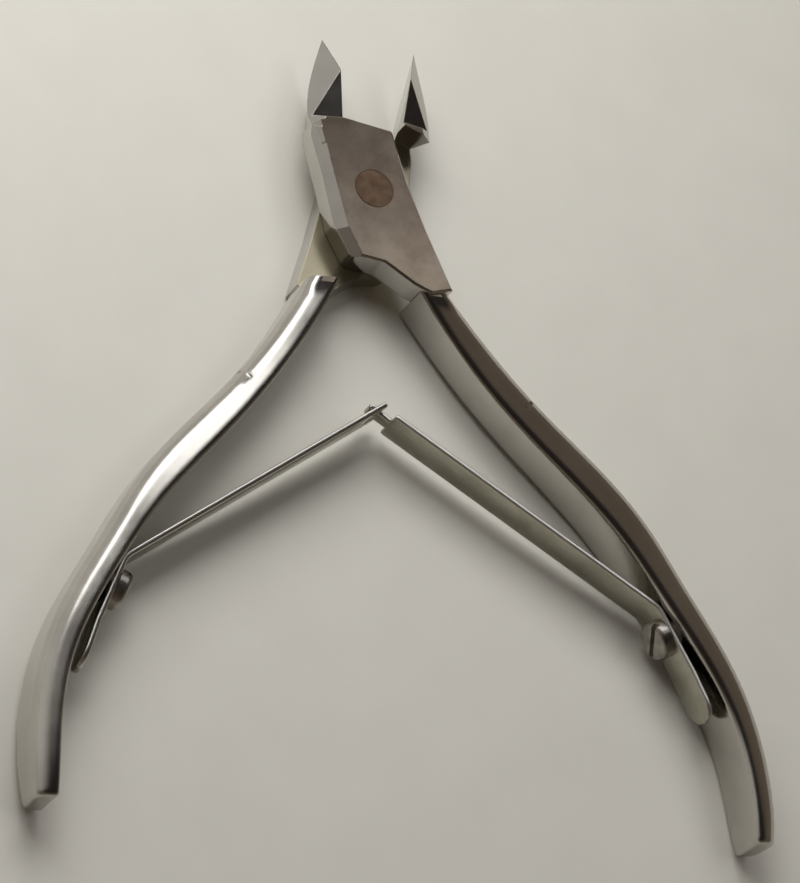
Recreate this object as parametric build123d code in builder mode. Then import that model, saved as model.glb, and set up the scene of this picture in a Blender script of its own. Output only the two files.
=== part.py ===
"""Cuticle nipper with a lap joint, two leaf springs and a flush pivot rivet.

Frame: the pivot axis is Z, the jaws point along +Y, the handles along -Y, and
Z = 0 is the plane that the tool lies on.  All sizes are in millimetres.
The tool is drawn as it rests: pushed fully open by its two springs.
"""
from build123d import *
from math import cos, radians, sin
import os

os.makedirs("parts", exist_ok=True)

# ---------------------------------------------------------------- driving sizes
THICK = 7.6                 # thickness of the joint and height of the palms
MID = THICK / 2             # height of the lap faces and of the spring centre line
LAP_GAP = 0.05              # running gap between the two lap faces

RIVET_R = 1.6               # pivot pin
RIVET_HEAD_R = 2.5          # flush round head, top and bottom
RIVET_HEAD_H = 1.1
RIVET_FIT = 0.03            # radial running clearance in the upper lever

SHOULDER_Y = -12.6          # where a handle grows to its full height

# Plan of the joint plate of the right-hand lever (the left-hand one mirrors it).
PLATE = [(-3.4, 9.3), (3.2, 8.3), (4.6, 1.6), (6.6, -4.6), (9.5, -12.4), (6.6, -13.2),
         (4.4, -12.3), (0.6, -9.8), (-3.4, -9.3), (-5.3, -5.0), (-6.4, 1.6), (-7.4, 6.8),
         (-7.3, 8.4)]
PLATE_FLANK = [(-3.4, -9.3), (-5.3, -5.0), (-6.4, 1.6), (-7.4, 6.8)]   # its free side
PLATE_CORNER_R = 1.2        # rounding of the crotch corners in plan
CROTCH_Y = -9               # the crotch corners lie behind this line
CROTCH_X = 5                # and this close to the middle
PLATE_EDGE = 0.25           # bevel round the ground face
PLATE_FRONT_Y = 7.5         # edges in front of this line stay sharp, where the jaw joins
PLATE_FLANK_EDGE = 1.1      # wide bevel along the free flank

# Centre line of a handle: x, y, thickness across the hand, height.
HANDLE = [(6.9, -11.9, 3.6, 6.9), (8.9, -15.2, 3.6, 6.6), (12.9, -21.2, 3.5, 6.2),
          (17.7, -27.1, 3.4, 6.2), (26.4, -36.2, 3.4, 6.8), (32.65, -44.15, 3.4, 7.3),
          (38.2, -53.15, 3.4, 7.5), (42.6, -61.6, 3.4, 7.5), (44.4, -68.2, 3.3, 7.4),
          (45.0, -75.0, 3.1, 7.0), (45.0, -79.6, 2.7, 5.6)]
HANDLE_OUTER_R = 1.6        # rounding of the palm side
HANDLE_INNER_R = 0.6        # rounding of the inner side
TIP_R = 0.5                 # rounding of the handle end
STEP_STATION = 3            # index of the station with the fine step line
STEP_WIDTH = 0.45
# Swell at each station: extra thickness that the right-hand lever carries on its palm side
# and the left-hand one on its inner side.
RIGHT_SWELL = [0, 0.3, 0.9, 1.2, 1.4, 1.1, 0.6, 0.2, 0, 0, 0]
LEFT_SWELL = [0, 0, 0.1, 0.4, 0.8, 0.3, 0, 0, 0, 0, 0]
STEP_DEPTH = 0.22
STEP_INNER = 0.3            # the line starts this far from the middle, on the palm side

# Cutting edges: angle of each edge from +X about the pivot.
LEFT_EDGE_ANGLE = 100.6
RIGHT_EDGE_ANGLE = 68.6
# A jaw in its own frame: distance along the cutting edge, distance outwards from it, and
# for the corners of the ground facets a height.
LEFT_JAW = {"root": 9.35, "tip": (22.4, 0.0, MID + 0.8), "apex": (16.5, 0.0, MID + 3.5),
            "heel": (10.0, 1.4, MID + 3.2), "outer": (10.6, 5.3, MID + 2.6),
            "flank": [(13.5, 4.6), (17.2, 3.0)], "inside": [(6.5, 2.0), (6.5, 4.6)]}
RIGHT_JAW = {"root": 10.7, "tip": (23.4, 0.0, MID + 1.1), "apex": (17.8, 0.0, MID + 3.5),
             "heel": (11.3, 1.0, MID + 3.2), "outer": (12.2, 4.3, MID + 2.8),
             "flank": [(14.6, 3.9), (18.4, 2.4)], "inside": [(6.5, 1.6), (6.5, 4.8)]}
JAW_RELIEF = 0.22           # how fast the inner wall leans back below the edge
JAW_BELLY = [(14.0, 0.8), (19.0, 2.3), (24.5, 4.0)]   # underside of the beak: y, z
JAW_WAIST_Z = 5.4           # height at which the plan of the flank is drawn
JAW_TUCK = 0.42             # how fast the flank tucks in below that height
JAW_BEVEL = 0.45            # ground bevel between the flat top and the dark facet
BELLY_START = 9.0           # the underside of a beak starts to rise here

# Leaf springs, right-hand one: plan points of its middle line from tail to tip joint.
LEAF_T = 0.7
LEAF_H = 4.6
LEAF_BEND_R = 2.5
LEAF_CORNER_R = 2.2         # rounding of the tail end
PUNCH = 2                   # reach of the cuts through a leaf, each way
LEAF_GAP = 0.02             # between a leaf and what holds it
TIP_JOINT = (-0.6, -28.3)
LEAF_TAIL = [(40.1, -64.1), (38.0, -58.65), (34.25, -50.6)]
TONGUE_H = 1.8              # narrow end of the right-hand leaf
TONGUE_LENGTH = 3.2
TONGUE_PAST = 1.2           # how far it reaches past the tip joint
FORK_PAST = 0.7             # how far the fork prongs of the left-hand leaf reach past it
FORK_SLOT_H = 2.3
FORK_SLOT_LENGTH = 2.6
MARGIN = 0.5                # how far a cut runs past the end of what it cuts

# Spring screws.
SCREW_AT = (35.62, -53.54)  # where the right-hand screw crosses the leaf
SCREW_OUT = (0.906, 0.423)  # direction of its shank, into the handle
SCREW_HEAD_R = 2.4
SCREW_HEAD_H = 1.5
SCREW_RIM_R = 0.55          # rounding of the head
SCREW_R = 1.15
SCREW_DEPTH = 2.5           # from the leaf's middle into the handle
SCREW_FIT = 0.02
SCREW_HOLE_PAST = 0.1       # the hole is this much deeper than the shank
LEAF_HOLE_R = 1.35
SCREW_SLOT_W = 0.7
SCREW_SLOT_D = 0.75
SCREW_SLOT_TURN = 40
PAD_R = 2.2                 # seat on the handle's inner face behind a leaf
PAD_DEPTH = 1.2

FAR = 30                    # side of the large boxes used as half spaces


def mirrored(points, side):
    """Plan points for the right-hand (side 1) or left-hand (side -1) lever."""
    return [(side * x, y) for x, y in points]


def half_space(p, q, r, outside):
    """Box that fills one side of the plane through p, q and r, the side of `outside`."""
    p, q, r, outside = Vector(p), Vector(q), Vector(r), Vector(outside)
    normal = (q - p).cross(r - p).normalized()
    if normal.dot(outside - p) < 0:
        normal = -normal
    plane = Plane(origin=p, z_dir=normal)
    sides = (Align.CENTER, Align.CENTER, Align.MIN)
    return plane * Box(FAR, FAR, FAR, align=sides, mode=Mode.PRIVATE)


def jaw_point(side, edge_angle, place, height=None):
    """Point given in a jaw's own frame; side is -1 for the left jaw, 1 for the right."""
    along, outward = place
    c, s = cos(radians(edge_angle)), sin(radians(edge_angle))
    x, y = along * c + side * outward * s, along * s - side * outward * c
    return (x, y) if height is None else (x, y, height)


def jaw_solid(side, edge_angle, shape):
    """One jaw: a beak with an outer bevel, a top facet and a leaning inner wall."""
    def plan(place):
        return jaw_point(side, edge_angle, place[:2])

    def at(place):
        return jaw_point(side, edge_angle, place[:2], place[2])

    tip, apex = shape["tip"], shape["apex"]
    heel, outer = shape["heel"], shape["outer"]
    above = at((apex[0], 0, THICK + FAR))
    leaned = at((apex[0], apex[2] * JAW_RELIEF, 0))
    middle = at((apex[0], -FAR, 0))
    bevel_start = heel[0] - JAW_BEVEL
    bevel = [at((bevel_start, 0, THICK)), at((outer[0] - JAW_BEVEL, outer[1], THICK))]
    facet = half_space(at(apex), at(outer), at(heel), above)
    ground = facet & half_space(*bevel, at(heel), above)
    tip_facet = half_space(at(tip), at(apex), at(outer), above)
    inner_wall = half_space(at(tip), at(apex), leaned, middle)
    outward = plan((0, 1))
    slant = (outward[0] * JAW_TUCK, outward[1] * JAW_TUCK, 1)
    belly_y = JAW_BELLY[-1][0]
    with BuildPart() as jaw:
        with BuildSketch(Plane.XY.offset(JAW_WAIST_Z)):
            with BuildLine():
                Spline(plan(outer), *[plan(place) for place in shape["flank"]], plan(tip))
                Polyline(plan(tip), plan((tip[0], -FAR / 3)), plan((shape["inside"][0][0], -FAR / 3)),
                         plan(shape["inside"][1]), plan(outer))
            make_face()
        extrude(amount=THICK, dir=slant, both=True)
        with BuildSketch(Plane.XY):
            with BuildLine():
                Polyline(plan(tip), plan(apex), plan(heel), plan(shape["inside"][0]),
                         plan((shape["inside"][0][0], FAR / 3)), plan((tip[0], FAR / 3)), close=True)
            make_face()
        extrude(amount=THICK, mode=Mode.INTERSECT)
        with BuildSketch(Plane.YZ):
            with BuildLine():
                Polyline(JAW_BELLY[-1], (belly_y, THICK), (0, THICK), (0, 0), (BELLY_START, 0))
                Spline((BELLY_START, 0), *JAW_BELLY)
            make_face()
        extrude(amount=FAR, both=True, mode=Mode.INTERSECT)
        for cut in (tip_facet, ground, inner_wall):
            add(cut, mode=Mode.SUBTRACT)
    return jaw.part


def station_planes(side, swell):
    """Planes across a handle at each of its stations, with x pointing to the palm."""
    points = [Vector(side * x, y, MID) for x, y, _, _ in HANDLE]
    planes = []
    for i, point in enumerate(points):
        ahead = points[min(i + 1, len(points) - 1)]
        back = points[max(i - 1, 0)]
        along = (ahead - back).normalized()
        palm = Vector(-side * along.Y, side * along.X, 0)
        centre = point + palm * (side * swell[i] / 2)
        planes.append(Plane(origin=centre, x_dir=palm, z_dir=along))
    return planes


def handle_section(thickness, height):
    """Cross-section of a handle: rounder on the palm side than on the inner side."""
    Rectangle(thickness, height)
    fillet(vertices().group_by(Axis.X)[-1], HANDLE_OUTER_R)
    fillet(vertices().group_by(Axis.X)[0], HANDLE_INNER_R)


def handle_solid(side):
    """Tapered, bowed handle from inside the joint plate to its rounded end."""
    swell = RIGHT_SWELL if side > 0 else LEFT_SWELL
    planes = station_planes(side, swell)
    with BuildPart() as handle:
        for plane, extra, (_, _, thickness, height) in zip(planes, swell, HANDLE):
            with BuildSketch(plane):
                handle_section(thickness + extra, height)
        loft()
        end_face = faces().sort_by(Axis.Y)[0]
        fillet(end_face.edges(), TIP_R)
        step = planes[STEP_STATION]
        thickness = HANDLE[STEP_STATION][2] + swell[STEP_STATION]
        height = HANDLE[STEP_STATION][3]
        with BuildSketch(step):
            Rectangle(2 * thickness, 2 * height)
            with Locations((-STEP_DEPTH, 0)):
                Rectangle(thickness, height - 2 * STEP_DEPTH, mode=Mode.SUBTRACT)
            with Locations((STEP_INNER, 0)):
                Rectangle(2 * thickness, 2 * height, align=(Align.MAX, Align.CENTER), mode=Mode.SUBTRACT)
        extrude(amount=STEP_WIDTH / 2, both=True, mode=Mode.SUBTRACT)
    return handle.part


def screw_plane(side):
    """Plane on the middle of the leaf at the screw, with z pointing to the tool's centre."""
    return Plane(origin=(side * SCREW_AT[0], SCREW_AT[1], MID), x_dir=(0, 0, 1),
                 z_dir=(-side * SCREW_OUT[0], -SCREW_OUT[1], 0))


def lap_cut_plan(side, edge_angle, root):
    """Plan of the lap: from the handle shoulder to the shoulder across the jaw."""
    ends = [jaw_point(side, edge_angle, (root, w)) for w in (FAR / 2, -FAR / 2)]
    ends.sort()
    return [(-FAR / 2, SHOULDER_Y), (FAR / 2, SHOULDER_Y), ends[1], ends[0]]


def flank_bevels(side, upper):
    """Half spaces that cut the wide bevel along the plate's free flank, from back to front."""
    surface = THICK if upper else 0
    edge_z = THICK - PLATE_FLANK_EDGE if upper else PLATE_FLANK_EDGE
    flank = mirrored(PLATE_FLANK, side)
    bevels = []
    for p, q in zip(flank, flank[1:]):
        inner = (p[0] + side * PLATE_FLANK_EDGE, p[1], surface)
        beyond = (p[0] - side * FAR, p[1], surface)
        bevels.append(half_space((*p, edge_z), (*q, edge_z), inner, beyond))
    return bevels


def plate_solid(side, upper):
    """Half of the lap joint, with a narrow bevel and a wide one along its free flank."""
    floor = MID + LAP_GAP / 2 if upper else 0
    bevels = flank_bevels(side, upper)
    with BuildPart() as plate:
        with BuildSketch(Plane.XY.offset(floor)):
            with BuildLine():
                Polyline(*mirrored(PLATE, side), close=True)
            make_face()
            crotch = [v for v in vertices() if v.Y < CROTCH_Y and abs(v.X) < CROTCH_X]
            fillet(crotch, PLATE_CORNER_R)
        extrude(amount=THICK - MID - LAP_GAP / 2)
        level = faces().filter_by(Plane.XY).sort_by(Axis.Z)[-1 if upper else 0]
        rim = [edge for edge in level.edges() if edge.center().Y < PLATE_FRONT_Y]
        chamfer(rim, PLATE_EDGE)
        for bevel in bevels:
            add(bevel, mode=Mode.SUBTRACT)
    return plate.part


def lever_solid(side, upper, edge_angle, jaw_shape):
    """One forging: a handle, half of the lap joint and the jaw on the other side."""
    jaw = jaw_solid(-side, edge_angle, jaw_shape)
    handle = handle_solid(side)
    plate = plate_solid(side, upper)
    lap_floor = 0 if upper else MID - LAP_GAP / 2
    lap_height = MID + LAP_GAP / 2
    front_bevel = flank_bevels(side, upper)[-1]
    with BuildPart() as lever:
        add(jaw)
        add(front_bevel, mode=Mode.SUBTRACT)
        add(handle)
        with BuildSketch(Plane.XY.offset(lap_floor)):
            with BuildLine():
                Polyline(*lap_cut_plan(-side, edge_angle, jaw_shape["root"]), close=True)
            make_face()
        extrude(amount=lap_height, mode=Mode.SUBTRACT)
        add(plate)
        with BuildSketch(screw_plane(side).offset(-LEAF_T / 2 - LEAF_GAP)):
            Circle(PAD_R)
        extrude(amount=-PAD_DEPTH)
        if upper:
            with Locations(Plane.XY.offset(THICK)):
                CounterBoreHole(RIVET_R + RIVET_FIT, RIVET_HEAD_R + RIVET_FIT, RIVET_HEAD_H + RIVET_FIT)
        else:
            with Locations(Plane((0, 0, 0), z_dir=(0, 0, -1))):
                CounterBoreHole(RIVET_R, RIVET_HEAD_R, RIVET_HEAD_H)
        with BuildSketch(screw_plane(side)):
            Circle(SCREW_R + SCREW_FIT)
        extrude(amount=-(SCREW_DEPTH + SCREW_HOLE_PAST), mode=Mode.SUBTRACT)
    return lever.part


def leaf_line(side, past):
    """Middle line of a leaf in plan, from its tail to `past` beyond the tip joint."""
    start = Vector(side * LEAF_TAIL[-1][0], LEAF_TAIL[-1][1])
    joint = Vector(*TIP_JOINT)
    end = joint + (joint - start).normalized() * past
    return [*mirrored(LEAF_TAIL, side), (end.X, end.Y)]


def leaf_solid(side, past):
    """Flat strip on edge: a straight spring arm and a tail that follows the handle."""
    points = leaf_line(side, past)
    along = Vector(*points[1]) - Vector(*points[0])
    start = Plane(origin=(*points[0], MID), x_dir=(0, 0, 1), z_dir=(along.X, along.Y, 0))
    with BuildPart() as leaf:
        with BuildLine(Plane.XY.offset(MID)):
            FilletPolyline(*points, radius=LEAF_BEND_R)
        with BuildSketch(start):
            Rectangle(LEAF_H, LEAF_T)
        sweep()
        tail_face = faces().sort_by(Axis.Y)[0]
        corners = tail_face.edges().sort_by(SortBy.LENGTH)[:2]
        fillet(corners, LEAF_CORNER_R)
        with BuildSketch(screw_plane(side)):
            Circle(LEAF_HOLE_R)
        extrude(amount=PUNCH, both=True, mode=Mode.SUBTRACT)
    return leaf.part


def tip_frame(side):
    """Plane at the tip joint with x along the leaf towards its end and z across it."""
    start = Vector(side * LEAF_TAIL[-1][0], LEAF_TAIL[-1][1])
    along = (Vector(*TIP_JOINT) - start).normalized()
    return Plane(origin=(*TIP_JOINT, MID), x_dir=(along.X, along.Y, 0), z_dir=(along.Y, -along.X, 0))


def screw_solid(side):
    """Slotted pan-head screw that clamps a leaf to its handle."""
    plane = screw_plane(side)
    seat = plane.offset(LEAF_T / 2 + LEAF_GAP)
    with BuildPart() as screw:
        with BuildSketch(seat):
            Circle(SCREW_HEAD_R)
        extrude(amount=SCREW_HEAD_H)
        rim = faces().sort_by(Axis(seat.origin, seat.z_dir))[-1].edges()
        fillet(rim, SCREW_RIM_R)
        with BuildSketch(seat.offset(SCREW_HEAD_H)):
            Rectangle(3 * SCREW_HEAD_R, SCREW_SLOT_W, rotation=side * SCREW_SLOT_TURN)
        extrude(amount=-SCREW_SLOT_D, mode=Mode.SUBTRACT)
        with BuildSketch(seat):
            Circle(SCREW_R)
        extrude(amount=-(SCREW_DEPTH + LEAF_T / 2))
    return screw.part


# ---------------------------------------------------------------- the two levers
with BuildPart() as right_handle_lever:
    add(lever_solid(1, True, LEFT_EDGE_ANGLE, LEFT_JAW))
right_handle_lever.part.label = "right_handle_lever"
export_step(right_handle_lever.part, "parts/right_handle_lever.step")

with BuildPart() as left_handle_lever:
    add(lever_solid(-1, False, RIGHT_EDGE_ANGLE, RIGHT_JAW))
left_handle_lever.part.label = "left_handle_lever"
export_step(left_handle_lever.part, "parts/left_handle_lever.step")

# ---------------------------------------------------------------- pivot rivet
with BuildPart() as pivot_rivet:
    with BuildSketch(Plane.XY):
        Circle(RIVET_HEAD_R)
    extrude(amount=RIVET_HEAD_H)
    with BuildSketch(Plane.XY):
        Circle(RIVET_R)
    extrude(amount=THICK)
    with BuildSketch(Plane.XY.offset(THICK)):
        Circle(RIVET_HEAD_R)
    extrude(amount=-RIVET_HEAD_H)
pivot_rivet.part.label = "pivot_rivet"
export_step(pivot_rivet.part, "parts/pivot_rivet.step")

# ---------------------------------------------------------------- leaf springs
with BuildPart() as right_leaf_spring:
    add(leaf_solid(1, TONGUE_PAST))
    with BuildSketch(tip_frame(1)):
        with Locations((TONGUE_PAST - TONGUE_LENGTH / 2, 0)):
            Rectangle(TONGUE_LENGTH, 2 * LEAF_H)
            Rectangle(TONGUE_LENGTH, TONGUE_H, mode=Mode.SUBTRACT)
    extrude(amount=PUNCH, both=True, mode=Mode.SUBTRACT)
right_leaf_spring.part.label = "right_leaf_spring"
export_step(right_leaf_spring.part, "parts/right_leaf_spring.step")

with BuildPart() as left_leaf_spring:
    add(leaf_solid(-1, FORK_PAST))
    with BuildSketch(tip_frame(-1)):
        with Locations((FORK_PAST + (MARGIN - FORK_SLOT_LENGTH) / 2, 0)):
            Rectangle(FORK_SLOT_LENGTH + MARGIN, FORK_SLOT_H)
    extrude(amount=PUNCH, both=True, mode=Mode.SUBTRACT)
left_leaf_spring.part.label = "left_leaf_spring"
export_step(left_leaf_spring.part, "parts/left_leaf_spring.step")

# ---------------------------------------------------------------- spring screws
with BuildPart() as right_spring_screw:
    add(screw_solid(1))
right_spring_screw.part.label = "right_spring_screw"
export_step(right_spring_screw.part, "parts/right_spring_screw.step")

with BuildPart() as left_spring_screw:
    add(screw_solid(-1))
left_spring_screw.part.label = "left_spring_screw"
export_step(left_spring_screw.part, "parts/left_spring_screw.step")
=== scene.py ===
# %% [markdown]
# # Cuticle nipper
# This lesson dresses a small steel hand tool: two forged levers that cross in a lap joint, a rivet, two
# leaf springs and two screws. The solids come ready made and fixed in place, in metres, with Z up and the
# pivot on the Z axis. Here they get their finishes, the springs get a finer shape, and light is set up.

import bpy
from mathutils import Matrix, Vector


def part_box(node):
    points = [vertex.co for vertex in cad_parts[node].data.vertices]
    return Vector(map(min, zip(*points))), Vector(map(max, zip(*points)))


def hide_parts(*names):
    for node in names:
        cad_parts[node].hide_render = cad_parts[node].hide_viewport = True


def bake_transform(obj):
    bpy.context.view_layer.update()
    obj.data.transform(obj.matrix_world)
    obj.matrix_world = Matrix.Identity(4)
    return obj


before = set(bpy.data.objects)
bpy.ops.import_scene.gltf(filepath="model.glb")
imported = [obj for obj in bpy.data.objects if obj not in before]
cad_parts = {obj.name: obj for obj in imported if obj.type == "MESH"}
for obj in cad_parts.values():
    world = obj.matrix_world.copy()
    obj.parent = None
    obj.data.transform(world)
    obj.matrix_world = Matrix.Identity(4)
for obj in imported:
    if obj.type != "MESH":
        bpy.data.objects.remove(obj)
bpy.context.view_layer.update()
print("nodes", sorted(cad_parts))

# %% [markdown]
# The tool's sizes are written in millimetres, and MM turns them into metres. The rivet is flush with the
# top of the joint, so its box says how thick the joint is. The two levers meet half-way up.

# %% Tools used below
import math

import bmesh
import bpy
from mathutils import Matrix, Vector

MM = 0.001
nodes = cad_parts
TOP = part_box("pivot_rivet")[1].z
MID = TOP / 2
print("joint is", round(TOP / MM, 2), "mm thick")

# %% [markdown]
# Colours are easiest to pick as hex codes, but a shader works in linear light. One function turns the
# first into the second, and every colour in the file goes through it.

# %% Colour from a hex code
def colour(code):
    """Linear colour with alpha from an sRGB code such as 'c8c4bc'."""
    def linear(part):
        value = int(part, 16) / 255
        return value / 12.92 if value <= 0.04045 else ((value + 0.055) / 1.055) ** 2.4
    return tuple(linear(code[i:i + 2]) for i in (0, 2, 4)) + (1.0,)


print("middle grey is", round(colour("808080")[0], 3), "in linear light")

# %% [markdown]
# A material is a small network of nodes. This helper adds one node, sets its values and plugs in what
# feeds it, so that each finish below reads as a short list of steps.

# %% One helper for every node
def put(tree, kind, settings=None, links=None, tones=()):
    """Add a node. settings: attribute or input name to value. links: input name to an output.
    tones: place and hex code of each end of a colour ramp."""
    node = tree.nodes.new(kind)
    for name, value in (settings or {}).items():
        if isinstance(name, str) and hasattr(node, name) and name not in node.inputs:
            setattr(node, name, value)
        else:
            node.inputs[name].default_value = value
    for name, source in (links or {}).items():
        tree.links.new(source, node.inputs[name])
    for number, (place, code) in enumerate(tones):
        node.color_ramp.elements[number].position = place
        node.color_ramp.elements[number].color = colour(code)
    return node


def new_material(name):
    """Empty node material with a Principled shader; returns the material, its tree and the shader."""
    material = bpy.data.materials.new(name)
    material.use_nodes = True
    tree = material.node_tree
    tree.nodes.clear()
    shader = put(tree, "ShaderNodeBsdfPrincipled")
    put(tree, "ShaderNodeOutputMaterial", {}, {"Surface": shader.outputs[0]})
    return material, tree, shader


def metal(tree, shader, tint, roughness, normal):
    """Plug the three outputs that every metal here has into its shader."""
    for name, source in (("Base Color", tint), ("Roughness", roughness), ("Normal", normal)):
        tree.links.new(source, shader.inputs[name])
    shader.inputs["Metallic"].default_value = 1.0


print("helpers ready")

# %% [markdown]
# The camera looks down at the tool from its lower left, turned about its own axis so that the handles
# point down the picture. It is a long lens, so the far handle is hardly smaller than the near one.

# %% Camera
AIM = Vector((2.407, -31.564, 3.8)) * MM
DISTANCE = 424.64 * MM
CAMERA_AZIMUTH = math.radians(-136.707)
CAMERA_ELEVATION = math.radians(54.531)
CAMERA_ROLL = math.radians(47.485)
LENS = 145.91               # focal length and sensor width are in millimetres, as Blender takes them
SENSOR = 36
NEAR_CLIP = 10 * MM


def direction(azimuth, elevation):
    """Unit vector that points away from the tool."""
    flat = math.cos(elevation)
    return Vector((flat * math.cos(azimuth), flat * math.sin(azimuth), math.sin(elevation)))


camera_data = bpy.data.cameras.new("camera")
camera_data.lens = LENS
camera_data.sensor_width = SENSOR
camera_data.clip_start = NEAR_CLIP
camera = bpy.data.objects.new("camera", camera_data)
bpy.context.scene.collection.objects.link(camera)
away = direction(CAMERA_AZIMUTH, CAMERA_ELEVATION)
turn = (-away).to_track_quat("-Z", "Y").to_matrix().to_4x4() @ Matrix.Rotation(CAMERA_ROLL, 4, "Z")
camera.matrix_world = Matrix.Translation(AIM + away * DISTANCE) @ turn
bpy.context.scene.camera = camera
print("camera at", [round(v / MM) for v in camera.matrix_world.translation], "mm")

# %% [markdown]
# The tool lies on a pale painted table with a faint sheen. A plane far wider than the tool fills the
# picture. Slow changes in its colour and a very fine grain keep it from looking like a void.

# %% Table
TABLE_SIDE = 3.0            # metres
PAINT_MOTTLE = 9 * MM
PAINT_GRAIN = 0.6 * MM
GRAIN_DEPTH = 0.02 * MM
GRAIN_STRENGTH = 0.05
PAINT_ROUGHNESS = 0.42
PAINT_IOR = 1.5


def painted_table():
    """Satin paint on board: pale warm grey, very slightly mottled, with a soft sheen."""
    material, tree, shader = new_material("satin_painted_board")
    place = put(tree, "ShaderNodeTexCoord").outputs["Object"]
    mottle = put(tree, "ShaderNodeTexNoise", {"Scale": 1 / PAINT_MOTTLE, "Detail": 4.0}, {"Vector": place})
    grain = put(tree, "ShaderNodeTexNoise", {"Scale": 1 / PAINT_GRAIN, "Detail": 2.0}, {"Vector": place})
    tint = put(tree, "ShaderNodeValToRGB", {}, {"Fac": mottle.outputs["Fac"]},
               [(0.3, "cdcac1"), (0.7, "d0cdc4")])
    bump = put(tree, "ShaderNodeBump", {"Strength": GRAIN_STRENGTH, "Distance": GRAIN_DEPTH},
               {"Height": grain.outputs["Fac"]})
    tree.links.new(tint.outputs["Color"], shader.inputs["Base Color"])
    tree.links.new(bump.outputs[0], shader.inputs["Normal"])
    shader.inputs["Roughness"].default_value = PAINT_ROUGHNESS
    shader.inputs["IOR"].default_value = PAINT_IOR
    return material


table_mesh = bpy.data.meshes.new("table")
half = TABLE_SIDE / 2
table_mesh.from_pydata([(-half, -half, 0), (half, -half, 0), (half, half, 0), (-half, half, 0)], [],
                       [(0, 1, 2, 3)])
table = bpy.data.objects.new("table", table_mesh)
bpy.context.scene.collection.objects.link(table)
table_mesh.materials.append(painted_table())
print("table", TABLE_SIDE, "m square")

# %% [markdown]
# Polished metal shows the room more than itself, so the room is planned before the lights. It is dark
# overhead, a warm grey lower down, and pale on the left beyond the jaws.

# %% Room
ROOM_DARK = colour("2c2826")
ROOM_LOW = colour("72665a")
ROOM_PALE = colour("d9d6d0")
ROOM_GLOW = 0.8
PALE_SIDE = direction(math.radians(128), math.radians(8))
PALE_FADE = (0.35, 0.95)    # cosine of the angle to PALE_SIDE where the pale begins, and where it is full
DARK_FADE = (0.35, 0.75)    # sine of the elevation where the dark begins, and where it is full


def room():
    """World whose colour depends on direction: pale on one side, dark overhead."""
    world = bpy.data.worlds.new("room")
    world.use_nodes = True
    tree = world.node_tree
    tree.nodes.clear()
    place = put(tree, "ShaderNodeTexCoord").outputs["Generated"]
    toward = put(tree, "ShaderNodeVectorMath", {"operation": "DOT_PRODUCT", 1: PALE_SIDE}, {0: place})
    pale = put(tree, "ShaderNodeMapRange",
               {"interpolation_type": "SMOOTHSTEP", "From Min": PALE_FADE[0], "From Max": PALE_FADE[1]},
               {"Value": toward.outputs["Value"]})
    split = put(tree, "ShaderNodeSeparateXYZ", {}, {0: place})
    height = put(tree, "ShaderNodeMapRange",
                 {"interpolation_type": "SMOOTHSTEP", "From Min": DARK_FADE[0], "From Max": DARK_FADE[1]},
                 {"Value": split.outputs["Z"]})
    wall = put(tree, "ShaderNodeMix", {"data_type": "RGBA", 6: ROOM_LOW, 7: ROOM_DARK},
               {0: height.outputs["Result"]})
    tint = put(tree, "ShaderNodeMix", {"data_type": "RGBA", 7: ROOM_PALE},
               {0: pale.outputs["Result"], 6: wall.outputs[2]})
    sky = put(tree, "ShaderNodeBackground", {"Strength": ROOM_GLOW}, {"Color": tint.outputs[2]})
    put(tree, "ShaderNodeOutputWorld", {}, {"Surface": sky.outputs[0]})
    return world


bpy.context.scene.world = room()
bpy.context.scene.view_settings.view_transform = "Standard"
print("room ready")

# %% [markdown]
# Three area lights face the tool. The window stands beyond the jaws, and the metal shows it as a bright
# band. The other two light the table without showing in the metal: a wide one high on the right, and a
# small one close by, beyond the jaws and a little to the left.

# %% Lights
def soft_light(name, azimuth, elevation, distance, size, power, seen_in_metal):
    """Rectangular area light. Angles in degrees, distance and size in metres, power in watts."""
    data = bpy.data.lights.new(name, "AREA")
    data.shape = "RECTANGLE"
    data.size, data.size_y = size
    data.energy = power
    lamp = bpy.data.objects.new(name, data)
    bpy.context.scene.collection.objects.link(lamp)
    outward = direction(math.radians(azimuth), math.radians(elevation))
    lamp.matrix_world = (Matrix.Translation(AIM + outward * distance)
                         @ outward.to_track_quat("Z", "Y").to_matrix().to_4x4())
    lamp.visible_camera = False
    lamp.visible_glossy = seen_in_metal


soft_light("window", azimuth=82, elevation=42, distance=1.0, size=(0.75, 0.34), power=2.5,
           seen_in_metal=True)
soft_light("right_fill", azimuth=5, elevation=62, distance=1.2, size=(0.6, 0.6), power=2.2,
           seen_in_metal=False)
soft_light("left_fill", azimuth=118, elevation=45, distance=0.27, size=(0.20, 0.20), power=0.56,
           seen_in_metal=False)

# %% [markdown]
# The levers are drop forged from stainless steel, ground, and polished on felt wheels. The handles shine
# like a soft mirror with faint lines from the wheel. The flats of the joint are only ground, so they
# scatter light and look brownish grey. One material does both: where the surface is level and lies on
# the joint, it switches from polish to ground steel.
#
# Three details here are shading and not shape: the tops of the handles lean towards the palm, their edges
# look rounder than they are, and the ground flats look slightly hollow.

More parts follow.
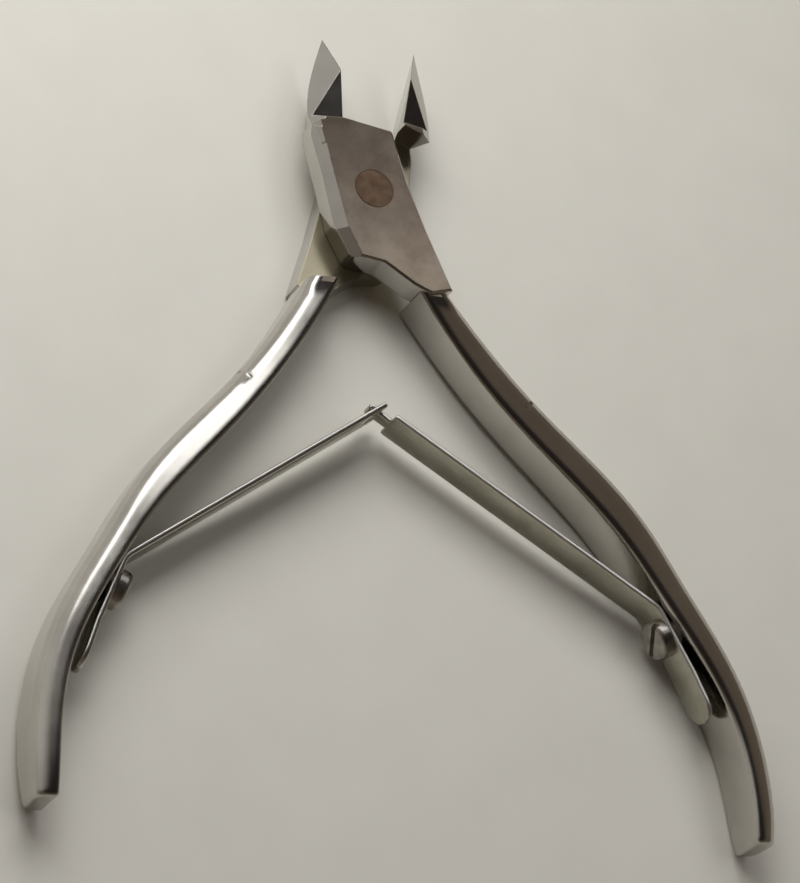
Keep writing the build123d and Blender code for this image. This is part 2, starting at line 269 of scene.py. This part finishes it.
# %% Polished and ground stainless steel
POLISH_LINE = 0.12 * MM     # spacing of the wheel lines, drawn coarser than they are so that they show
POLISH_STRETCH = 0.06       # places are squeezed by this along the tool, which draws the pattern out into lines
GRIND_LINE = 0.10 * MM
GRIND_STRETCH = 0.05        # the same, across the tool
GRIND_TURN = 0.5            # radians; keeps the pattern's own grid out of line with the tool
SMEAR = 5 * MM              # size of the faint clouds left by fingers and polish
SMEAR_ROUGHNESS = 0.6
POLISH_ROUGHNESS = (0.10, 0.22)
GROUND_ROUGHNESS = (0.34, 0.46)
LINE_DEPTH = 0.01 * MM
LINE_STRENGTH = 0.12
LEVEL = 0.998               # a face is level where the upright part of its normal is more than this
JOINT_BACK = -13.3 * MM     # the ground flats end here, towards the handles
JOINT_FRONT = 10.2 * MM     # and here, towards the jaws
LAP_FADE = (MID + 1.0 * MM, MID + 0.5 * MM)     # flats lower than this belong to the lower lever
HANDLE_FADE = (-13.5 * MM, -15.5 * MM)          # the handles begin along this stretch
HANDLE_SLOPE = 0.24         # how far the normal on top of a handle leans towards the palm
HANDLE_SOFTNESS = 0.9 * MM  # the handles' edges look rounded over this width
JOINT_SOFTNESS = 0.12 * MM  # and the joint's and the jaws' edges over this one
SOFTNESS_SAMPLES = 12
HOLLOW = 6.5                # the normal on a ground flat leans to the pivot, by this much per metre from it
PALM_WAY = Vector((0.86, 0.5, 0))   # plan direction from the right-hand handle to its palm side


def level_mask(tree, where):
    """1 where the surface is level and belongs to the joint, else 0."""
    geometry = put(tree, "ShaderNodeNewGeometry")
    normal = put(tree, "ShaderNodeSeparateXYZ", {}, {0: geometry.outputs["True Normal"]})
    upright = put(tree, "ShaderNodeMath", {"operation": "ABSOLUTE"}, {0: normal.outputs["Z"]})
    level = put(tree, "ShaderNodeMath", {"operation": "GREATER_THAN", 1: LEVEL}, {0: upright.outputs[0]})
    past_back = put(tree, "ShaderNodeMath", {"operation": "GREATER_THAN", 1: JOINT_BACK},
                    {0: where.outputs["Y"]})
    before_front = put(tree, "ShaderNodeMath", {"operation": "LESS_THAN", 1: JOINT_FRONT},
                       {0: where.outputs["Y"]})
    on_joint = put(tree, "ShaderNodeMath", {"operation": "MULTIPLY"},
                   {0: past_back.outputs[0], 1: before_front.outputs[0]})
    mask = put(tree, "ShaderNodeMath", {"operation": "MULTIPLY"},
               {0: on_joint.outputs[0], 1: level.outputs[0]})
    return mask.outputs[0]


def forging_tint(tree, where, flat, smear):
    """Bright polish, brownish ground flats, and a paler straw tone on the lower lever's flat, painted light
    that lightens this low flat.
    """
    polish = put(tree, "ShaderNodeValToRGB", {}, {"Fac": smear}, [(0.0, "b3afa9"), (1.0, "cfccc6")])
    ground = put(tree, "ShaderNodeValToRGB", {}, {"Fac": smear}, [(0.35, "83766a"), (0.68, "a09486")])
    tint = put(tree, "ShaderNodeMix", {"data_type": "RGBA"},
               {0: flat, 6: polish.outputs["Color"], 7: ground.outputs["Color"]})
    # Painted light: the lower lever's flat lies low in the joint and gets a paler tone than the other ground
    # flats, which lightens it.
    lap = put(tree, "ShaderNodeMapRange", {"From Min": LAP_FADE[0], "From Max": LAP_FADE[1]},
              {"Value": where.outputs["Z"]})
    lap_flat = put(tree, "ShaderNodeMath", {"operation": "MULTIPLY"}, {0: lap.outputs["Result"], 1: flat})
    lap_painted_light = put(tree, "ShaderNodeMix", {"data_type": "RGBA", 7: colour("cbc3a9")},
                {0: lap_flat.outputs[0], 6: tint.outputs[2]})
    return lap_painted_light.outputs[2]


def forging_lines(tree, place, flat):
    """Wheel lines along the polished parts, grinding lines across the flats."""
    along = put(tree, "ShaderNodeMapping", {"Scale": (1.0, POLISH_STRETCH, 1.0)}, {"Vector": place})
    wheel = put(tree, "ShaderNodeTexNoise", {"Scale": 1 / POLISH_LINE, "Detail": 2.0},
                {"Vector": along.outputs[0]})
    across = put(tree, "ShaderNodeMapping",
                 {"Scale": (GRIND_STRETCH, 1.0, 1.0), "Rotation": (0, 0, GRIND_TURN)}, {"Vector": place})
    grind = put(tree, "ShaderNodeTexNoise", {"Scale": 1 / GRIND_LINE, "Detail": 3.0},
                {"Vector": across.outputs[0]})
    lines = put(tree, "ShaderNodeMix", {"data_type": "FLOAT"},
                {0: flat, 2: wheel.outputs["Fac"], 3: grind.outputs["Fac"]})
    return lines.outputs[0]


def handle_lean(tree, where, normal, handle):
    """What to add to the normal so that the tops of the handles lean to the palm."""
    hand = put(tree, "ShaderNodeMath", {"operation": "SIGN"}, {0: where.outputs["X"]})
    sideways = put(tree, "ShaderNodeMath", {"operation": "MULTIPLY", 1: PALM_WAY.x}, {0: hand.outputs[0]})
    palm = put(tree, "ShaderNodeCombineXYZ", {"Y": PALM_WAY.y}, {"X": sideways.outputs[0]})
    rise = put(tree, "ShaderNodeSeparateXYZ", {}, {0: normal})
    slope = put(tree, "ShaderNodeMath", {"operation": "MULTIPLY", 1: HANDLE_SLOPE}, {0: rise.outputs["Z"]})
    amount = put(tree, "ShaderNodeMath", {"operation": "MULTIPLY"}, {0: slope.outputs[0], 1: handle})
    toward_palm = put(tree, "ShaderNodeVectorMath", {"operation": "SCALE"},
                      {0: palm.outputs[0], "Scale": amount.outputs[0]})
    return toward_palm.outputs[0]


def forging_normal(tree, place, where, flat):
    """Normal with softened edges, leaning handle tops and hollow flats."""
    handle = put(tree, "ShaderNodeMapRange",
                 {"interpolation_type": "SMOOTHSTEP", "From Min": HANDLE_FADE[0], "From Max": HANDLE_FADE[1]},
                 {"Value": where.outputs["Y"]}).outputs["Result"]
    softness = put(tree, "ShaderNodeMapRange", {"To Min": JOINT_SOFTNESS, "To Max": HANDLE_SOFTNESS},
                   {"Value": handle})
    soft_edge = put(tree, "ShaderNodeBevel", {"samples": SOFTNESS_SAMPLES},
                    {"Radius": softness.outputs["Result"]}).outputs[0]
    toward_palm = handle_lean(tree, where, soft_edge, handle)
    hollow = put(tree, "ShaderNodeVectorMath", {"operation": "SCALE", "Scale": HOLLOW}, {0: place})
    dished = put(tree, "ShaderNodeVectorMath", {"operation": "MULTIPLY"}, {0: hollow.outputs[0], 1: flat})
    lean = put(tree, "ShaderNodeVectorMath", {"operation": "SUBTRACT"},
               {0: toward_palm, 1: dished.outputs[0]})
    turned = put(tree, "ShaderNodeVectorTransform",
                 {"vector_type": "VECTOR", "convert_from": "OBJECT", "convert_to": "WORLD"},
                 {0: lean.outputs[0]})
    return put(tree, "ShaderNodeVectorMath", {"operation": "ADD"},
               {0: soft_edge, 1: turned.outputs[0]}).outputs[0]


def forged_steel():
    """Polished stainless forging with ground flats."""
    material, tree, shader = new_material("polished_stainless_forging")
    place = put(tree, "ShaderNodeTexCoord").outputs["Object"]
    where = put(tree, "ShaderNodeSeparateXYZ", {}, {0: place})
    flat = level_mask(tree, where)
    smear = put(tree, "ShaderNodeTexNoise",
                {"Scale": 1 / SMEAR, "Detail": 5.0, "Roughness": SMEAR_ROUGHNESS},
                {"Vector": place}).outputs["Fac"]
    polished = put(tree, "ShaderNodeMapRange",
                   {"To Min": POLISH_ROUGHNESS[0], "To Max": POLISH_ROUGHNESS[1]}, {"Value": smear})
    ground = put(tree, "ShaderNodeMapRange",
                 {"To Min": GROUND_ROUGHNESS[0], "To Max": GROUND_ROUGHNESS[1]}, {"Value": smear})
    gloss = put(tree, "ShaderNodeMix", {"data_type": "FLOAT"},
                {0: flat, 2: polished.outputs["Result"], 3: ground.outputs["Result"]})
    bump = put(tree, "ShaderNodeBump", {"Strength": LINE_STRENGTH, "Distance": LINE_DEPTH},
               {"Height": forging_lines(tree, place, flat),
                "Normal": forging_normal(tree, place, where, flat)})
    metal(tree, shader, forging_tint(tree, where, flat, smear), gloss.outputs[0], bump.outputs[0])
    return material


def dress(material, *names):
    """Give a material to fixed solids."""
    for name in names:
        nodes[name].data.materials.clear()
        nodes[name].data.materials.append(material)
    print(*names, "in", material.name)


dress(forged_steel(), "right_handle_lever", "left_handle_lever")

# %% [markdown]
# The rivet was pushed in and ground flush, and its steel is a little softer and darker than the forging.
# The screws are a brighter steel. Both have faint clouds and a fine even grain.

# %% Rivet and screws
GRAIN = 0.22 * MM
CLOUD = 1.5 * MM
SMALL_SOFTNESS = 0.1 * MM
SMALL_SAMPLES = 6
SMALL_DEPTH = 0.01 * MM
SMALL_STRENGTH = 0.15


def grained_steel(name, dark, pale, roughness):
    """Steel between two tones and two roughnesses, with a fine even grain and softened edges."""
    material, tree, shader = new_material(name)
    place = put(tree, "ShaderNodeTexCoord").outputs["Object"]
    cloud = put(tree, "ShaderNodeTexNoise", {"Scale": 1 / CLOUD, "Detail": 4.0},
                {"Vector": place}).outputs["Fac"]
    grain = put(tree, "ShaderNodeTexNoise", {"Scale": 1 / GRAIN, "Detail": 2.0}, {"Vector": place})
    tint = put(tree, "ShaderNodeValToRGB", {}, {"Fac": cloud}, [(0.3, dark), (0.7, pale)])
    gloss = put(tree, "ShaderNodeMapRange", {"To Min": roughness[0], "To Max": roughness[1]},
                {"Value": cloud})
    soft_edge = put(tree, "ShaderNodeBevel", {"samples": SMALL_SAMPLES, "Radius": SMALL_SOFTNESS})
    bump = put(tree, "ShaderNodeBump", {"Strength": SMALL_STRENGTH, "Distance": SMALL_DEPTH},
               {"Height": grain.outputs["Fac"], "Normal": soft_edge.outputs[0]})
    metal(tree, shader, tint.outputs["Color"], gloss.outputs["Result"], bump.outputs[0])
    return material


dress(grained_steel("ground_rivet_steel", "6b5747", "86705d", (0.32, 0.44)), "pivot_rivet")
dress(grained_steel("turned_screw_steel", "85817b", "bcb7af", (0.26, 0.46)),
      "right_spring_screw", "left_spring_screw")

# %% [markdown]
# A leaf spring is blanked from thin rolled strip and bent. So it is drawn the same way: first flat, as an
# outline with its rounded tail and its tongue or fork, then given thickness and softened edges, and last
# bent along the line that the strip follows in the tool. The screw's hole is left out, because the screw
# covers it.

# %% Leaf springs
LEAF_T = 0.7 * MM           # thickness of the strip
LEAF_H = 4.6 * MM           # its height, standing on edge
LEAF_EDGE = 0.24 * MM       # width of its softened edges
EDGE_SEGMENTS = 3
SHARP = 0.6                 # radians; edges that turn by more than this are softened
LEAF_BEND_R = 2.5 * MM      # about the radius of each bend
BEND_STEPS = 8
TAIL_STEP = 15              # degrees between the points of the rounded tail
CUT = 0.5 * MM              # the flat strip is cut about this finely, so that it can bend
CUT_TOLERANCE = 1e-7        # metres
SMOOTH_ANGLE = math.radians(35)
TAIL_END = Vector((40.1, -64.1)) * MM       # plan corners of the right-hand strip; the left one mirrors them
TAIL_MID = Vector((38.0, -58.65)) * MM
BEND = Vector((34.25, -50.6)) * MM
TIP_JOINT = Vector((-0.6, -28.3)) * MM      # where the two strips cross
TONGUE_H = 1.8 * MM
TONGUE_LENGTH = 3.2 * MM
TONGUE_PAST = 1.2 * MM                      # how far the tongue reaches past the crossing
FORK_PAST = 0.7 * MM
FORK_SLOT_H = 2.3 * MM
FORK_SLOT_LENGTH = 2.6 * MM


def leaf_path(side, past):
    """Closely spaced plan points of the strip's middle line, from tail to tip."""
    start = Vector((side * BEND.x, BEND.y))
    tip = TIP_JOINT + (TIP_JOINT - start).normalized() * past
    corners = [Vector((side * p.x, p.y)) for p in (TAIL_END, TAIL_MID, BEND)] + [tip]
    points = [corners[0]]
    for before, corner, after in zip(corners, corners[1:], corners[2:]):
        back, ahead = (before - corner).normalized(), (after - corner).normalized()
        half_turn = (math.pi - back.angle(ahead)) / 2
        reach = LEAF_BEND_R * math.tan(half_turn)
        p0, p1 = corner + back * reach, corner + ahead * reach
        for i in range(BEND_STEPS + 1):
            t = i / BEND_STEPS
            points.append((1 - t) ** 2 * p0 + 2 * t * (1 - t) * corner + t * t * p1)
    points.append(corners[-1])
    return points


def place_on_path(points, distance):
    """Plan point and direction at a distance along the path."""
    for p, q in zip(points, points[1:]):
        step = (q - p).length
        if distance <= step or q is points[-1]:
            return p + (q - p) * (distance / step), (q - p).normalized()
        distance -= step


def leaf_outline(length, forked):
    """Corners of the flat blank: x along the strip, y across it."""
    h = LEAF_H / 2
    round_tail = [(h - h * math.sin(a), h * math.cos(a))
                  for a in (math.radians(d) for d in range(TAIL_STEP, 180, TAIL_STEP))]
    tail = [(h, h)] + round_tail + [(h, -h)]
    if forked:
        s = FORK_SLOT_H / 2
        inner = length - FORK_SLOT_LENGTH
        end = [(length, -h), (length, -s), (inner, -s), (inner, s), (length, s), (length, h)]
    else:
        s = TONGUE_H / 2
        neck = length - TONGUE_LENGTH
        end = [(neck, -h), (neck, -s), (length, -s), (length, s), (neck, s), (neck, h)]
    return tail + end


def soft_blank(length, forked):
    """Flat strip with thickness and softened edges."""
    mesh = bmesh.new()
    face = mesh.faces.new([mesh.verts.new((x, y, -LEAF_T / 2)) for x, y in leaf_outline(length, forked)])
    grown = bmesh.ops.extrude_face_region(mesh, geom=[face])
    lifted = [v for v in grown["geom"] if isinstance(v, bmesh.types.BMVert)]
    bmesh.ops.translate(mesh, verts=lifted, vec=(0, 0, LEAF_T))
    bmesh.ops.recalc_face_normals(mesh, faces=mesh.faces[:])
    sharp = [e for e in mesh.edges if len(e.link_faces) == 2 and e.calc_face_angle() > SHARP]
    bmesh.ops.bevel(mesh, geom=sharp, offset=LEAF_EDGE, segments=EDGE_SEGMENTS, profile=0.5,
                    affect="EDGES", clamp_overlap=True)
    return mesh


def bend_blank(mesh, path, length):
    """Cut the flat strip finely and lay it along the path."""
    cuts = int(length / CUT)
    for i in range(1, cuts):
        geometry = mesh.verts[:] + mesh.edges[:] + mesh.faces[:]
        bmesh.ops.bisect_plane(mesh, geom=geometry, plane_co=(i * length / cuts, 0, 0),
                               plane_no=(1, 0, 0), dist=CUT_TOLERANCE)
    for v in mesh.verts:
        place, along = place_on_path(path, v.co.x)
        across = Vector((along.y, -along.x))
        plan = place + across * v.co.z
        v.co = (plan.x, plan.y, MID + v.co.y)
    bmesh.ops.recalc_face_normals(mesh, faces=mesh.faces[:])


def make_leaf(name, side, past, forked):
    """One leaf spring, blanked, softened and bent."""
    path = leaf_path(side, past)
    length = sum((q - p).length for p, q in zip(path, path[1:]))
    mesh = soft_blank(length, forked)
    bend_blank(mesh, path, length)
    data = bpy.data.meshes.new(name)
    mesh.to_mesh(data)
    mesh.free()
    data.shade_smooth()
    data.set_sharp_from_angle(angle=SMOOTH_ANGLE)
    leaf = bpy.data.objects.new(name, data)
    bpy.context.scene.collection.objects.link(leaf)
    print(name, "is", round(length / MM, 1), "mm long with", len(data.polygons), "faces")
    return leaf


right_leaf = make_leaf("right_leaf_strip", 1, TONGUE_PAST, False)
left_leaf = make_leaf("left_leaf_strip", -1, FORK_PAST, True)

# %% [markdown]
# Rolled strip has fine straight lines along its length. Its edges are tumbled bright, and they draw a
# highlight out along the strip, which is why they are anisotropic. The steel is tempered, which leaves a
# slightly olive grey on the wide faces.

# %% Spring steel
ROLL_LINE = 0.15 * MM
ROLL_STRETCH = 0.04         # places are squeezed by this in plan, which draws the pattern out into lines
ROLL_DEPTH = 0.01 * MM
ROLL_STRENGTH = 0.15
TEMPER_CLOUD = 4 * MM
EDGE_FADE = (0.25, 0.6)     # upright part of the normal where an edge begins, and where it is full
FACE_ROUGHNESS = (0.16, 0.34)
EDGE_ROUGHNESS = 0.42
EDGE_STRETCH = 0.9          # anisotropy of the edges
ARM_WAY = (TIP_JOINT - BEND).normalized()   # way of the right-hand arm; the left one mirrors it


def strip_tangent(tree, place):
    """Direction along the arm of whichever strip this is."""
    where = put(tree, "ShaderNodeSeparateXYZ", {}, {0: place})
    hand = put(tree, "ShaderNodeMath", {"operation": "SIGN"}, {0: where.outputs["X"]})
    lean = put(tree, "ShaderNodeMath", {"operation": "MULTIPLY", 1: ARM_WAY.x}, {0: hand.outputs[0]})
    return put(tree, "ShaderNodeCombineXYZ", {"Y": ARM_WAY.y}, {"X": lean.outputs[0]}).outputs[0]


def spring_steel():
    """Tempered rolled strip: lines along the strip, bright tumbled edges."""
    material, tree, shader = new_material("tempered_rolled_strip")
    place = put(tree, "ShaderNodeTexCoord").outputs["Object"]
    geometry = put(tree, "ShaderNodeNewGeometry")
    normal = put(tree, "ShaderNodeSeparateXYZ", {}, {0: geometry.outputs["Normal"]})
    upright = put(tree, "ShaderNodeMath", {"operation": "ABSOLUTE"}, {0: normal.outputs["Z"]})
    edge = put(tree, "ShaderNodeMapRange", {"From Min": EDGE_FADE[0], "From Max": EDGE_FADE[1]},
               {"Value": upright.outputs[0]}).outputs["Result"]
    along = put(tree, "ShaderNodeMapping", {"Scale": (ROLL_STRETCH, ROLL_STRETCH, 1.0)}, {"Vector": place})
    lines = put(tree, "ShaderNodeTexNoise", {"Scale": 1 / ROLL_LINE, "Detail": 3.0},
                {"Vector": along.outputs[0]}).outputs["Fac"]
    cloud = put(tree, "ShaderNodeTexNoise", {"Scale": 1 / TEMPER_CLOUD, "Detail": 4.0}, {"Vector": place})
    face = put(tree, "ShaderNodeValToRGB", {}, {"Fac": cloud.outputs["Fac"]},
               [(0.3, "a09d8e"), (0.7, "b9b6a8")])
    tint = put(tree, "ShaderNodeMix", {"data_type": "RGBA", 7: colour("f0efeb")},
               {0: edge, 6: face.outputs["Color"]})
    face_gloss = put(tree, "ShaderNodeMapRange", {"To Min": FACE_ROUGHNESS[0], "To Max": FACE_ROUGHNESS[1]},
                     {"Value": lines})
    gloss = put(tree, "ShaderNodeMix", {"data_type": "FLOAT", 3: EDGE_ROUGHNESS},
                {0: edge, 2: face_gloss.outputs["Result"]})
    bump = put(tree, "ShaderNodeBump", {"Strength": ROLL_STRENGTH, "Distance": ROLL_DEPTH},
               {"Height": lines})
    stretch = put(tree, "ShaderNodeMath", {"operation": "MULTIPLY", 1: EDGE_STRETCH}, {0: edge})
    metal(tree, shader, tint.outputs[2], gloss.outputs[0], bump.outputs[0])
    tree.links.new(stretch.outputs[0], shader.inputs["Anisotropic"])
    tree.links.new(strip_tangent(tree, place), shader.inputs["Tangent"])
    return material


strip = spring_steel()
for leaf in (right_leaf, left_leaf):
    leaf.data.materials.append(strip)
print("leaves use", strip.name)

# %% [markdown]
# On the tool each strip is clamped to its lever at the tail and flexes towards its tip.
# Here each strip's placement is baked into its mesh, and the ready-made spring solid it replaces is hidden.

# %% Baking the springs in place and hiding the solids they replace
for leaf, side, name in ((right_leaf, 1, "right"), (left_leaf, -1, "left")):
    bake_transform(leaf)
    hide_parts(name + "_leaf_spring")
